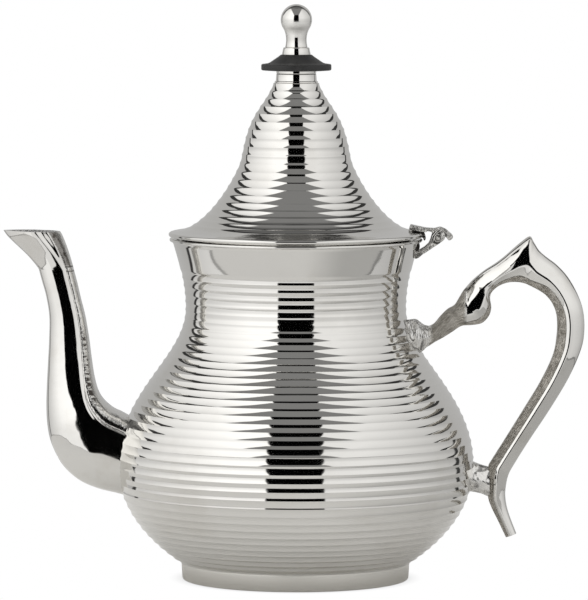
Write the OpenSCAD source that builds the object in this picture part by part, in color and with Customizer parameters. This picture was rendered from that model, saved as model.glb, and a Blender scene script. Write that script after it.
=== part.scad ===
// Ribbed spun-metal pot with a gooseneck spout, a cast scroll handle and a hinged pointed lid.
// The origin is the centre of the foot's underside, +Z is up, the handle is at +X and the spout at -X.
// The body and lid are turned about Z from one chain of Bezier curves each, beaded with round coves.

/* [Body] */
// Largest radius of the belly, over the rib edges
belly_r = 74.5; // [73:0.5:76]
// Smallest radius of the neck, over the rib edges
waist_r = 46.1; // [45.9:0.1:46.3]
// Radius of the mouth's outer edge
mouth_r = 51.5; // [51.5:0.1:51.7]
// Thickness of the sheet at the bottom of a cove
sheet = 0.9; // [0.8:0.1:1.1]
// Number of coves rolled into the body
body_coves = 40; // [38:1:42]
// Depth of a cove on the body
body_cove_depth = 0.28; // [0.2:0.01:0.35]

/* [Foot] */
// Outer radius of the foot band, where it meets the body
foot_r = 47.7; // [47.5:0.1:48]
// How much narrower the foot band is at the bottom
foot_taper = 0.4; // [0.2:0.1:0.5]
// Height of the foot band
foot_h = 7; // [7:0.1:7.2]
// Thickness of the foot band
foot_wall = 1.5; // [1.2:0.1:1.8]

/* [Lid] */
// Number of coves rolled into the lid
lid_coves = 20; // [18:1:22]
// Depth of a cove on the lid
lid_cove_depth = 0.28; // [0.2:0.01:0.35]
// Radius of the lid's rolled rim
rim_r = 53.1; // [52.9:0.1:53.3]
// Gap between the mouth and the rolled rim
lid_gap = 0.3; // [0.2:0.05:0.4]
// How far the locating band drops into the mouth
skirt_drop = 5; // [4:0.5:6]

/* [Hinge] */
// Distance of the hinge pin from the pot's axis
hinge_x = 58.9; // [58.7:0.1:59.1]
// Height of the hinge pin
hinge_z = 142.95; // [142.9:0.05:143.1]
// Radius of the hinge pin
pin_r = 1; // [0.9:0.05:1.1]
// Radial play of the lid's knuckle on the pin
pin_play = 0.05; // [0.03:0.01:0.08]
// Half of the hinge's width
hinge_half = 6.2; // [5.8:0.1:6.6]

/* [Knob] */
// Radius of the insulating ring
ring_r = 14.6; // [14:0.1:15]
// Radius of the knob's ball
ball_r = 6.5; // [6.3:0.1:6.6]
// Overall height of the pot
total_h = 239.8; // [239.6:0.1:240]
// Radius of the stud that holds the knob
stud_r = 2; // [1.8:0.1:2]

/* [Hidden] */
$fn = 96;

// Colours of the metals and the ring
NICKEL = [0.80, 0.79, 0.76];
CAST = [0.74, 0.73, 0.69];
BRASS = [0.72, 0.62, 0.40];
BLACK = [0.07, 0.07, 0.07];

// Heights that the parts share
rib_top_z = 129.6;
mouth_z = 141.4;
waist_z = 113;
belly_z = 47.5;
rim_z = mouth_z + lid_gap;
neck_z = 212.2;

// ---- curves ----
function bezier(p, t) =
    (1 - t) ^ 3 * p[0] + 3 * (1 - t) ^ 2 * t * p[1] + 3 * (1 - t) * t ^ 2 * p[2] + t ^ 3 * p[3];
function chain(curves, n) =
    [for (c = curves) for (i = [0:n - 1]) bezier(c, i / n), curves[len(curves) - 1][3]];

// Running length along a list of points
function run(p) =
    [for (i = 0, s = 0; i < len(p); i = i + 1, s = i < len(p) ? s + norm(p[i] - p[i - 1]) : s) s];
function column(keys, p, k) = [for (i = [0:len(p) - 1]) [keys[i], p[i][k]]];
function along(keys, p, s) = [lookup(s, column(keys, p, 0)), lookup(s, column(keys, p, 1))];

// A point list moved inwards, towards the axis, by t
function inset_curve(p, t) =
    [for (i = [0:len(p) - 1])
        let (a = p[max(i - 1, 0)], b = p[min(i + 1, len(p) - 1)], d = (b - a) / norm(b - a))
        p[i] + [d[1], -d[0]] * t];

// Coves between ridges that stand on a profile from length s0 to length s1, each a little wider
// than the one above by the given growth
COVE_STEPS = 4;
function coves(p, s0, s1, n, depth, growth) =
    let (keys = run(p),
         ridge = [for (i = [0:n]) let (u = i / n) along(keys, p, s0 + (s1 - s0) * u * (1 - growth * (1 - u)))])
    [for (i = [0:n - 1])
        let (d = ridge[i + 1] - ridge[i], in = [d[1], -d[0]] / norm(d))
        for (j = [0:COVE_STEPS - 1])
            let (u = j / COVE_STEPS) ridge[i] + d * u + in * depth * 4 * u * (1 - u)];

// Catmull-Rom spline through rows of numbers, with n steps from one row to the next
function spline_row(a, b, c, d, t) =
    b + 0.5 * t * (c - a + t * (2 * a - 5 * b + 4 * c - d + t * (3 * (b - c) + d - a)));
function spline(rows, n) =
    [for (i = [0:len(rows) - 2]) for (j = [0:n - 1])
        spline_row(rows[max(i - 1, 0)], rows[i], rows[i + 1], rows[min(i + 2, len(rows) - 1)], j / n),
     rows[len(rows) - 1]];

// ---- profiles, as [radius, height] from the top down ----
COLLAR = [[mouth_r, mouth_z], [47.2, 127.5], [waist_r, 121], [waist_r, waist_z]];
UPPER = [[waist_r, waist_z], [waist_r, 93], [belly_r, 78], [belly_r, belly_z]];
LOWER = [[belly_r, belly_z], [belly_r, 37.4], [70, 21.3], [48.1, foot_h]];
body_line = chain([COLLAR, UPPER, LOWER], 24);
body_keys = run(body_line);
rib_start = lookup(-rib_top_z, [for (i = [0:len(body_line) - 1]) [-body_line[i][1], body_keys[i]]]);
rib_end = body_keys[len(body_keys) - 1];
COVE_GROWTH = 0.05;
body_ribs = coves(body_line, rib_start, rib_end, body_coves, body_cove_depth, COVE_GROWTH);
body_bore = inset_curve(chain([COLLAR, UPPER, LOWER], 10), sheet + body_cove_depth);

// The body is rolled in two pieces that are joined at the edge of this rib
JOINT_RIB = 11;
joint_outer = body_ribs[JOINT_RIB * COVE_STEPS];
joint_inner = [-lookup(-joint_outer[1], [for (p = body_bore) [-p[1], -p[0]]]), joint_outer[1]];

// Radius of the body at the bottom of its coves, where the soldered parts sit
body_roots = inset_curve(body_line, body_cove_depth);
function root_r(z) = -lookup(-z, [for (p = body_roots) [-p[1], -p[0]]]);

LID_TIP = [[9.5, 207], [13.5, 196.4], [19.8, 196.2], [22.9, 175.5]];
LID_FLARE = [[22.9, 175.5], [23.4, 172.2], [34.2, 148.6], [48.4, 146.6]];
lid_line = chain([LID_TIP, LID_FLARE], 24);
lid_keys = run(lid_line);
lid_bore = inset_curve(chain([LID_TIP, LID_FLARE], 10), sheet + lid_cove_depth);
function lid_bore_z(r) = lookup(r, lid_bore);
// Length of smooth metal between the lid's last ridge and its rim
PLAIN_EDGE = 2;

// ---- lofts ----
// Triangles between ring a and ring b of n points each
function band(a, b, n) =
    [for (i = [0:n - 1]) let (j = (i + 1) % n) each [[a + i, b + i, b + j], [a + i, b + j, a + j]]];
function fan(start, centre, n) = [for (i = [0:n - 1]) [start + i, start + (i + 1) % n, centre]];
function middle(ring) = [for (k = [0:2]) [for (p = ring) p[k]] * [for (p = ring) 1] / len(ring)];
function flip(faces) = [for (f = faces) [f[2], f[1], f[0]]];

// Solid through rings of points, closed at both ends
module loft(rings) {
    n = len(rings[0]);
    m = len(rings);
    polyhedron(
        points = [for (r = rings) each r, middle(rings[0]), middle(rings[m - 1])],
        faces = [for (k = [0:m - 2]) each band(k * n, (k + 1) * n, n),
                 each fan(0, m * n, n),
                 each flip(fan((m - 1) * n, m * n + 1, n))],
        convexity = 8);
}

// Tube between outer rings and inner rings
module tube(outer, inner) {
    n = len(outer[0]);
    m = len(outer);
    polyhedron(
        points = [for (r = outer) each r, for (r = inner) each r],
        faces = [for (k = [0:m - 2]) each band(k * n, (k + 1) * n, n),
                 for (k = [0:m - 2]) each flip(band((m + k) * n, (m + k + 1) * n, n)),
                 each flip(band(0, m * n, n)),
                 each band((m - 1) * n, (2 * m - 1) * n, n)],
        convexity = 8);
}

// Slides a point along d until it lies on the body's cove bottoms
function seat(p, d, lo, hi, n) =
    let (t = (lo + hi) / 2, q = p + d * t)
    n == 0 ? q
    : norm([q[0], q[1]]) > root_r(q[2]) ? seat(p, d, t, hi, n - 1)
    : seat(p, d, lo, t, n - 1);
function seat_ring(ring, d) = [for (p = ring) seat(p, d, -8, 30, 18)];

// ---- spout: rows of outer x, outer z, pot-side x, pot-side z, depth across ----
SPOUT = [[-75.2, 35.9, -68.6, 67.4, 30], [-82.3, 37.6, -72.3, 69.5, 29.5],
         [-90, 40.9, -75.7, 71.1, 29], [-96.1, 46, -78, 72.8, 28], [-99.5, 51, -79.8, 74.5, 27],
         [-102.4, 57.7, -81.6, 77, 25.5], [-103.7, 64.4, -82.9, 80, 23.5],
         [-104.1, 72, -83.9, 84, 21.2], [-103.9, 80, -84.6, 88, 19.2],
         [-103.4, 90, -85.4, 94, 17.2], [-102.9, 100, -86.3, 101, 15.4],
         [-102.8, 109.7, -87.8, 109.8, 14.2], [-104.1, 118.1, -89.6, 117, 13.6],
         [-105.8, 124.3, -91.1, 123.5, 13.5], [-107.2, 129.5, -92.6, 129.2, 13.6]];
SPOUT_WALL = 1.6;
root_centre = [-71.9, 0, 51.65];
root_tilt = 15;
root_dir = [cos(root_tilt), 0, -sin(root_tilt)];

// Section of the spout as [place from the lip side at -1 to the pot side at 1, share of the half depth]:
// a round front, a flank up to the crease, a groove, and a narrower round back
WIDEST = 0.12;
CREASE = 0.56;
BACK = 0.66;
GROOVE_SHARE = 0.87;
SPOUT_HALF = [for (a = [0:10:80]) [WIDEST - (1 + WIDEST) * cos(a) ^ 0.8, sin(a) ^ 0.8],
              for (u = [0, 0.5, 1]) [WIDEST + (CREASE - WIDEST) * u, 1 - 0.07 * u ^ 2],
              [CREASE + 0.04, GROOVE_SHARE], [CREASE + 0.08, GROOVE_SHARE],
              for (a = [18:18:90]) [BACK + (1 - BACK) * sin(a) ^ 0.85, GROOVE_SHARE * cos(a) ^ 0.85]];
SPOUT_SECTION = [each SPOUT_HALF,
                 for (i = [len(SPOUT_HALF) - 2:-1:1]) [SPOUT_HALF[i][0], -SPOUT_HALF[i][1]]];

// One ring of the spout: row, wall taken off all round, and how far the lip side narrows
function spout_ring(r, off, nip) =
    let (a = [r[0], r[1]], b = [r[2], r[3]], u = (b - a) / norm(b - a), c = (a + b) / 2,
         half = norm(b - a) / 2 - off, deep = r[4] / 2 - off)
    [for (p = SPOUT_SECTION)
        let (q = c + u * half * p[0], y = deep * p[1] * (1 - nip * max(0, -p[0]) ^ 1.5))
        [q[0], y, q[1]]];

// ---- beak: the same rows, then how far the lip side narrows ----
BEAK = [[-107.2, 129.5, -92.6, 129.2, 13.6, 0], [-108.6, 131.4, -93.2, 131.6, 14, 0.05],
        [-111.6, 134.9, -94.3, 135.3, 15.2, 0.15], [-114.6, 137.8, -95.4, 138.6, 16.6, 0.3],
        [-117.6, 140.6, -96.5, 141.5, 17.8, 0.45], [-120.2, 143.2, -97.4, 143.6, 18.6, 0.55],
        [-121.9, 145.6, -98.2, 145, 19, 0.6]];
BEAK_WALL = 1.4;

// ---- handle: rows of outer x, outer z, inner x, inner z, half depth ----
GRIP = [[55.5, 105.9, 55.5, 97.6, 5.2], [57.7, 107, 58.2, 99.4, 5], [60.2, 110, 61.5, 101.2, 4.8],
        [63.1, 112.9, 65, 103.4, 4.8], [66, 114.6, 69, 106, 5], [67.6, 117, 73.2, 106.4, 5.4],
        [69.6, 120.4, 77.4, 107.2, 5.8], [71.6, 122.9, 80.3, 110, 5.8],
        [73.6, 125.1, 81.4, 113.6, 5.5], [76, 127.2, 80.9, 117.6, 5.2], [79, 129.5, 81.6, 120.1, 5],
        [83.2, 132.2, 84.3, 122.6, 5], [86.6, 134.8, 87.6, 124, 5], [90, 137.8, 90.4, 124.4, 5.1],
        [93.6, 140.9, 93, 124.3, 5.2], [97.4, 143.4, 95.6, 123.7, 5.2], [99.1, 141, 97.6, 122.8, 5.3],
        [101.4, 137.4, 99.4, 121.9, 5.4], [104.6, 134.6, 101.6, 120.7, 5.4],
        [108.7, 131.5, 104, 119, 5.5], [113.3, 126.5, 106.4, 116.2, 5.5],
        [117.4, 119.4, 108.2, 112.6, 5.5], [119.8, 112.4, 109, 108.4, 5.5],
        [120.4, 104.4, 108.9, 102.2, 5.4], [119.1, 96.3, 107.4, 93.8, 5.2],
        [114.1, 84.5, 102.2, 82.6, 4.9], [106.2, 71.1, 95.3, 71.1, 4.7],
        [97.4, 57.7, 87.3, 58.1, 4.6], [91.4, 48, 81.8, 49.3, 4.6], [88.9, 43.2, 80.6, 46.6, 4.6],
        [87.8, 37.6, 80.4, 38.6, 4.5], [87.8, 33.6, 80.6, 33.6, 4.3], [88.6, 29.2, 82.1, 29.4, 3.8],
        [90.3, 24.2, 84.6, 24.4, 3.3], [92.4, 18.9, 88, 17.3, 2.8]];
UPPER_FOOT = [[46.5, 108.4, 52.3, 95, 5.6], [49.9, 108.8, 53.5, 96, 5.5],
              [51.7, 107.7, 54.2, 96.8, 5.3], [53.5, 106.4, 54.9, 97.3, 5.2],
              [55.5, 105.9, 55.5, 97.6, 5.2]];
LOWER_FOOT = [[73, 49.6, 71, 36.9, 5], [76.4, 48.2, 74.8, 36.3, 4.7], [79.2, 47.3, 77.8, 35.6, 4.6],
              [81, 46.9, 81, 34.2, 4.6]];

// Lines that run along the handle, as [row, outer line, ridge, inner line], where a line is its place
// from the outer edge at 0 to the inner edge at 1, followed by its share of the half depth
FOOT_LINES = [[0, 0.5, 1, 0.55, 1, 0.86, 0.74], [9, 0.5, 1, 0.55, 1, 0.86, 0.74]];
GRIP_LINES = [[0, 0.48, 1, 0.54, 1, 0.86, 0.74], [4, 0.46, 1, 0.54, 1, 0.86, 0.74],
              [6, 0.34, 1, 0.66, 1, 0.84, 0.72], [8, 0.38, 1, 0.62, 1, 0.84, 0.72],
              [9, 0.52, 1, 0.66, 0.99, 0.84, 0.72], [10, 0.6, 1, 0.7, 0.97, 0.86, 0.72],
              [12, 0.5, 1, 0.62, 0.92, 0.84, 0.76], [13, 0.43, 1, 0.6, 0.94, 0.82, 0.78],
              [14, 0.26, 0.96, 0.56, 0.98, 0.82, 0.8], [15, 0.08, 0.62, 0.55, 1, 0.86, 0.82],
              [16, 0.06, 0.45, 0.56, 1, 0.86, 0.82], [19, 0.05, 0.4, 0.58, 1, 0.78, 0.86],
              [22, 0.05, 0.4, 0.6, 1, 0.69, 0.92], [29, 0.05, 0.4, 0.62, 1, 0.67, 0.94],
              [31, 0.12, 0.72, 0.58, 1, 0.7, 0.92], [34, 0.14, 0.8, 0.58, 1, 0.72, 0.9]];
INNER_EDGE = 0.5;
LEDGE = [0.03, -0.06];

function line_at(lines, row, c) = lookup(row, [for (k = lines) [k[0], k[c]]]);
// Share of the way across a rounded face at share u of the way along it
function swell(u) = 0.65 * sqrt(1 - (1 - u) ^ 2) + 0.35 * u;
function bar_half(outer, ridge, inner) =
    [for (u = [0.08, 0.3, 0.6]) [outer[0] * u, outer[1] * swell(u)],
     for (u = [0, 0.25, 0.6]) [outer[0] + (ridge[0] - outer[0]) * u, outer[1] + (ridge[1] - outer[1]) * swell(u)],
     ridge, inner, inner + LEDGE, [1, INNER_EDGE]];

// Ring of the handle at a row of the table
function bar_ring(r, lines, row) =
    let (a = [r[0], 0, r[1]], b = [r[2], 0, r[3]], k = [for (c = [1:6]) line_at(lines, row, c)],
         half = bar_half([k[0], k[1]], [k[2], k[3]], [k[4], k[5]]))
    [for (p = half) a + (b - a) * p[0] + [0, r[4] * p[1], 0],
     for (i = [len(half) - 1:-1:0]) a + (b - a) * half[i][0] - [0, r[4] * half[i][1], 0]];
function bar_rings(rows, lines, n) =
    let (fine = spline(rows, n)) [for (i = [0:len(fine) - 1]) bar_ring(fine[i], lines, i / n)];

// ---- body parts ----
module turned(points) {
    rotate_extrude() polygon(points);
}

module along_spout_root() {
    translate(root_centre) rotate([0, root_tilt - 90, 0]) children();
}

STRAINER_R = 12.4;
EDGE_ROUND = 0.7;
module body_shell() {
    color(NICKEL) difference() {
        turned([joint_inner,
                joint_outer,
                each [for (i = [JOINT_RIB * COVE_STEPS + 1:len(body_ribs) - 1]) body_ribs[i]],
                body_line[len(body_line) - 1],
                [foot_r - foot_wall + 0.3, foot_h],
                each [for (i = [len(body_bore) - 2:-1:0]) if (body_bore[i][1] < joint_inner[1]) body_bore[i]]]);
        along_spout_root() cylinder(r = STRAINER_R, h = 40, center = true);
    }
}

module neck_shell() {
    steps = 8;
    collar = [for (i = [1:steps - 1]) EDGE_ROUND + (rib_start - EDGE_ROUND) * i / steps];
    color(NICKEL) turned([[body_bore[0][0], mouth_z],
                          each [for (a = [90:-35:20]) [mouth_r - EDGE_ROUND * (1 - cos(a)),
                                                       mouth_z - EDGE_ROUND * (1 - sin(a))]],
                          each [for (s = collar) along(body_keys, body_line, s)],
                          each [for (i = [0:JOINT_RIB * COVE_STEPS]) body_ribs[i]],
                          joint_inner,
                          each [for (i = [len(body_bore) - 2:-1:1])
                              if (body_bore[i][1] > joint_inner[1]) body_bore[i]]]);
}

module foot_ring() {
    inner = foot_r - foot_wall;
    low = foot_r - foot_taper;
    color(NICKEL) turned([[inner, foot_h], [inner, 0.2], [inner + 0.2, 0], [low - 0.5, 0],
                          [low - 0.15, 0.2], [low, 0.7], [foot_r, foot_h]]);
}

// Shallow cup soldered inside the foot, its floor domed up a little
module base_plate() {
    r = foot_r - foot_wall;
    dome = [for (i = [0:8]) [r * (1 - i / 8), foot_h + 1.5 * (1 - (1 - i / 8) ^ 2)]];
    under = [for (i = [8:-1:0]) [(r - 1) * (1 - i / 8), foot_h - 1 + 1.5 * (1 - (1 - i / 8) ^ 2)]];
    color(BRASS) turned([[r - 1, 2.4], [r, 2.4], each dome, each under]);
}

// Perforated cup pushed through the wall behind the spout
module strainer() {
    outer_end = 0.8;
    inner_end = -5;
    gauge = 0.7;
    color(NICKEL) along_spout_root() difference() {
        translate([0, 0, inner_end]) cylinder(r = STRAINER_R, h = outer_end - inner_end);
        translate([0, 0, inner_end + gauge])
            cylinder(r = STRAINER_R - gauge, h = outer_end - inner_end);
        translate([0, 0, inner_end - 1]) {
            cylinder(r = 1.2, h = 4, $fn = 24);
            for (k = [1:2]) for (i = [0:6 * k - 1]) rotate([0, 0, i * 60 / k])
                translate([4.4 * k, 0, 0]) cylinder(r = 1.2, h = 4, $fn = 24);
        }
    }
}

module spout_tube() {
    rows = spline(SPOUT, 2);
    outer = [for (r = rows) spout_ring(r, 0, 0)];
    inner = [for (r = rows) spout_ring(r, SPOUT_WALL, 0)];
    last = len(rows) - 1;
    color(NICKEL) tube([seat_ring(outer[0], root_dir), each [for (i = [1:last]) outer[i]]],
                       [seat_ring(inner[0], root_dir), each [for (i = [1:last]) inner[i]]]);
}

module spout_beak() {
    rows = spline(BEAK, 2);
    color(NICKEL) tube([for (r = rows) spout_ring(r, 0, r[5])],
                       [for (r = rows) spout_ring(r, BEAK_WALL, r[5])]);
}

// ---- handle parts ----
// Lofts a bar whose first ring is seated on the body
module seated_bar(rings) {
    loft([seat_ring(rings[0], [-1, 0, 0]), each [for (i = [1:len(rings) - 1]) rings[i]]]);
}

module handle_upper_foot() {
    color(CAST) seated_bar(bar_rings(UPPER_FOOT, FOOT_LINES, 1));
}

module handle_grip() {
    color(NICKEL) loft(bar_rings(GRIP, GRIP_LINES, 2));
}

module handle_lower_foot() {
    color(CAST) seated_bar(bar_rings(LOWER_FOOT, FOOT_LINES, 1));
}

// ---- hinge parts, drawn as side outlines and thickened along Y ----
KNUCKLE_R = 1.9;
CENTRE_HALF = 2.4;
KNUCKLE_GAP = 0.25;
SWING_R = 6.8;

module side_plate(points, half) {
    rotate([90, 0, 0]) linear_extrude(height = 2 * half, center = true) polygon(points);
}

module at_pin() {
    translate([hinge_x, 0, hinge_z]) rotate([90, 0, 0]) children();
}

// Leaf on the collar, with two arms that carry the outer knuckles
module hinge_bracket() {
    inner = CENTRE_HALF + KNUCKLE_GAP;
    color(CAST) difference() {
        union() {
            side_plate([[47, 134.4], [50.2, 134.4], [60.8, 141.5], [61.2, 142.9], [60.2, 144.5], [58.9, 144.9],
                        [57.4, 144.3], [56.4, 142.7], [55.6, 140.3], [51.6, 137.6], [51.7, 141.1],
                        [47, 141.1]], hinge_half);
            at_pin() cylinder(r = KNUCKLE_R, h = 2 * hinge_half, center = true, $fn = 32);
        }
        turned([[0, 120], [0, 150], each [for (p = body_roots) if (p[1] > 120) p]]);
        at_pin() cylinder(r = SWING_R, h = 2 * inner, center = true, $fn = 64);
        at_pin() cylinder(r = pin_r, h = 40, center = true, $fn = 32);
    }
}

module hinge_pin() {
    head = 0.7;
    color(CAST) at_pin() {
        cylinder(r = pin_r, h = 2 * hinge_half, center = true, $fn = 32);
        for (s = [-1, 1]) translate([0, 0, s * (hinge_half + head / 2)])
            cylinder(r = 1.4, h = head, center = true, $fn = 32);
    }
}

// Leaf on the lid that hooks over the rolled rim, with the centre knuckle and thumb tail
module hinge_strap() {
    leaf_half = 4.6;
    color(CAST) difference() {
        union() {
            intersection() {
                side_plate([[47.8, 144], [47.8, 148.3], [50.4, 147.6], [53.4, 146.9], [54.6, 146.4],
                            [54.6, 141.9], [50, 141.9]], leaf_half);
                translate([0, -20, 100]) cube([54.6, 40, 100]);
            }
            side_plate([[52, 143.2], [52, 147.2], [53.5, 146.9], [57.7, 146.7], [60.3, 147.3], [62.4, 146.4],
                        [65.3, 143.9], [65.4, 142.9], [63.8, 141.5], [62.6, 142.2], [60.4, 143.4],
                        [58.9, 141.1], [57.1, 143.2], [56.6, 145.2], [54.6, 145.3],
                        [54.6, 143.2]], CENTRE_HALF);
            at_pin() cylinder(r = KNUCKLE_R, h = 2 * CENTRE_HALF, center = true, $fn = 32);
        }
        turned(lid_outline());
        at_pin() cylinder(r = pin_r + pin_play, h = 40, center = true, $fn = 32);
    }
}

// ---- lid parts ----
RIM_ROUND = 1.65;
NECK_R = 8.3;
NECK_FOOT_R = 9.1;
NECK_FOOT_Z = 207.6;
NICK = 0.2;
function rim_arc() =
    [for (a = [100:-20:-80]) [rim_r - RIM_ROUND + RIM_ROUND * cos(a), rim_z + RIM_ROUND + RIM_ROUND * sin(a)]];
// Outside of the lid at the bottom of its coves, as a closed outline
function lid_outline() =
    [[0, neck_z], [NECK_R, neck_z], each inset_curve(lid_line, lid_cove_depth), each rim_arc(), [0, rim_z]];

module lid_shell() {
    ribs = coves(lid_line, 0, lid_keys[len(lid_keys) - 1] - PLAIN_EDGE, lid_coves, lid_cove_depth, 0);
    inside = [for (i = [len(lid_bore) - 1:-1:0]) lid_bore[i]];
    color(NICKEL) turned([[stud_r, neck_z], [NECK_R, neck_z], [NECK_R, neck_z - 1],
                          [NECK_R - NICK, neck_z - 1.2], [NECK_R, neck_z - 1.4],
                          [NECK_FOOT_R, NECK_FOOT_Z], [NECK_FOOT_R - NICK, NECK_FOOT_Z - 0.3],
                          each ribs, [48.4, 146.6], [50.6, 145.5],
                          each rim_arc(), [50, 143.2],
                          each inside,
                          [NECK_R - 1, 206], [NECK_R - 1, neck_z - 1], [stud_r, neck_z - 1]]);
}

// Locating band soldered under the lid
module lid_skirt() {
    outer = 48;
    inner = outer - 0.8;
    bottom = mouth_z - skirt_drop;
    color(NICKEL) turned([[inner, bottom], [outer, bottom], [outer, lid_bore_z(outer)],
                          [inner, lid_bore_z(inner)]]);
}

module insulator_ring() {
    color(BLACK) turned([[stud_r, neck_z], [12, neck_z], [ring_r - 0.3, neck_z + 0.2],
                         [ring_r, neck_z + 0.6], [ring_r, neck_z + 2.3], [ring_r - 0.5, neck_z + 2.7],
                         [12, neck_z + 3], [6.5, neck_z + 6.6], [stud_r, neck_z + 6.6]]);
}

COLLAR_Z = neck_z + 6.6;
KNOB_Z = COLLAR_Z + 3;
module finial_collar() {
    color(NICKEL) turned([[stud_r, COLLAR_Z], [5.8, COLLAR_Z], [5.95, COLLAR_Z + 0.3], [5.45, KNOB_Z - 0.3],
                          [5.2, KNOB_Z], [stud_r, KNOB_Z]]);
}

module finial_knob() {
    centre = total_h - ball_r;
    // The neck swells into the ball where both have this radius
    join_r = 4.75;
    join_z = centre - sqrt(ball_r ^ 2 - join_r ^ 2);
    neck = [for (i = [0:8]) bezier([[4.65, KNOB_Z], [4.2, KNOB_Z + 2.3], [join_r - 1.15, join_z - 1.3],
                                    [join_r, join_z]], i / 8)];
    color(NICKEL) difference() {
        union() {
            translate([0, 0, centre]) sphere(r = ball_r);
            turned([[0, KNOB_Z], each neck, [0, centre]]);
        }
        translate([0, 0, KNOB_Z - 1]) cylinder(r = stud_r, h = 7);
    }
}

STUD_LOW = neck_z - 6;
module finial_stud() {
    color(CAST) translate([0, 0, STUD_LOW]) cylinder(r = stud_r, h = KNOB_Z + 6 - STUD_LOW);
}

module stud_washer() {
    color(CAST) translate([0, 0, neck_z - 1.8]) difference() {
        cylinder(r = 5, h = 0.8);
        translate([0, 0, -1]) cylinder(r = stud_r, h = 4);
    }
}

module stud_nut() {
    color(CAST) translate([0, 0, neck_z - 5]) difference() {
        cylinder(r = 4.04, h = 3.2, $fn = 6);
        translate([0, 0, -1]) cylinder(r = stud_r, h = 6);
    }
}

body_shell();
neck_shell();
foot_ring();
base_plate();
strainer();
spout_tube();
spout_beak();
handle_upper_foot();
handle_grip();
handle_lower_foot();
hinge_bracket();
hinge_pin();
lid_shell();
lid_skirt();
hinge_strap();
insulator_ring();
finial_collar();
finial_knob();
finial_stud();
stud_washer();
stud_nut();
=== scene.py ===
"""A tall ribbed metal pot for tea or coffee: spun body and lid, cast spout and handle, black ring, ball knob.

The pot's own frame has +Z up, the handle at +X, the spout at -X and the viewer at -Y. Outlines and rows are
in millimetres, as (radius, height) or (x, height); meshes and finishes are in metres.
"""
import math

import bmesh
import bpy
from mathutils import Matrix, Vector


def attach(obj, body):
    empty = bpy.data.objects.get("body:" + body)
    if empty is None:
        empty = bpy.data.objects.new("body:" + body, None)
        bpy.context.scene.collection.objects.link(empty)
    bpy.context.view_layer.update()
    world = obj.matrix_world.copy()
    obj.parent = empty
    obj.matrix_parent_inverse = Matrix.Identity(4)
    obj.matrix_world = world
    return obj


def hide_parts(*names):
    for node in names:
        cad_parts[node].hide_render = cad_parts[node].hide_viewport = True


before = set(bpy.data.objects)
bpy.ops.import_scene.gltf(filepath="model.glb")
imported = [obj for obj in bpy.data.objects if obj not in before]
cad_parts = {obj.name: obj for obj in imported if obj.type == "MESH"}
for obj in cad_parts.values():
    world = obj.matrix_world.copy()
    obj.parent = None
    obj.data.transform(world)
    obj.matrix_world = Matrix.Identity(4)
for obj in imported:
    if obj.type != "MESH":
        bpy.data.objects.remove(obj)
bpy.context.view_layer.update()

MM = 0.001
MERGE_WITHIN = 2e-6
ROUND_STEPS, SMALL_ROUND_STEPS, PIN_STEPS = 192, 96, 32


# ---------------------------------------------------------------- curves

def cosd(angle):
    return math.cos(math.radians(angle))


def sind(angle):
    return math.sin(math.radians(angle))


def arc(centre, across, up, angles):
    """Points on an ellipse at the given angles in degrees."""
    return [(centre[0] + across * cosd(a), centre[1] + up * sind(a)) for a in angles]


def bezier(points, t):
    a, b, c, d = (Vector(p) for p in points)
    return (1 - t) ** 3 * a + 3 * (1 - t) ** 2 * t * b + 3 * (1 - t) * t * t * c + t ** 3 * d


def chain(curves, steps):
    """Points along Bezier curves that follow one another."""
    points = [bezier(curve, i / steps) for curve in curves for i in range(steps)]
    return points + [Vector(curves[-1][3])]


def running_lengths(points):
    lengths = [0.0]
    for a, b in zip(points, points[1:]):
        lengths.append(lengths[-1] + (b - a).length)
    return lengths


def point_at(points, lengths, s):
    """The point at length s along a line."""
    for i in range(1, len(points)):
        if s <= lengths[i] or i == len(points) - 1:
            t = (s - lengths[i - 1]) / (lengths[i] - lengths[i - 1])
            return points[i - 1].lerp(points[i], t)


def inset_curve(points, depth):
    """The line moved towards the axis by a depth; the line runs downwards."""
    moved = []
    for i, p in enumerate(points):
        d = points[min(i + 1, len(points) - 1)] - points[max(i - 1, 0)]
        d.normalize()
        moved.append(p + Vector((d.y, -d.x)) * depth)
    return moved


def coves(points, start, end, count, depth, growth, steps=8):
    """Shallow rolled grooves that meet in sharp ridges; the ridges stand on the given line."""
    lengths = running_lengths(points)
    ridges = []
    for i in range(count + 1):
        u = i / count
        ridges.append(point_at(points, lengths, start + (end - start) * u * (1 - growth * (1 - u))))
    line = []
    for a, b in zip(ridges, ridges[1:]):
        d = b - a
        inward = Vector((d.y, -d.x)).normalized()
        for j in range(steps):
            u = j / steps
            line.append(a + d * u + inward * depth * 4 * u * (1 - u))
    return line


def spline_rows(rows, steps):
    """A Catmull-Rom spline through rows of numbers."""
    out = []
    for i in range(len(rows) - 1):
        a, b = rows[max(i - 1, 0)], rows[i]
        c, d = rows[i + 1], rows[min(i + 2, len(rows) - 1)]
        for j in range(steps):
            t = j / steps
            out.append([q + 0.5 * t * (r - p + t * (2 * p - 5 * q + 4 * r - s + t * (3 * (q - r) + s - p)))
                        for p, q, r, s in zip(a, b, c, d)])
    return out + [list(rows[-1])]


# ---------------------------------------------------------------- pieces

def finish_piece(name, bm, finishes, body, nodes, sharp=30):
    """Makes the piece's object, with edges sharper than the angle kept sharp."""
    bmesh.ops.remove_doubles(bm, verts=bm.verts, dist=MERGE_WITHIN)
    bmesh.ops.recalc_face_normals(bm, faces=bm.faces)
    mesh = bpy.data.meshes.new(name)
    bm.to_mesh(mesh)
    bm.free()
    mesh.shade_smooth()
    mesh.set_sharp_from_angle(angle=math.radians(sharp))
    for finish in finishes:
        mesh.materials.append(finish)
    piece = bpy.data.objects.new(name, mesh)
    bpy.context.scene.collection.objects.link(piece)
    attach(piece, body)
    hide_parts(*nodes)
    return piece


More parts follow.
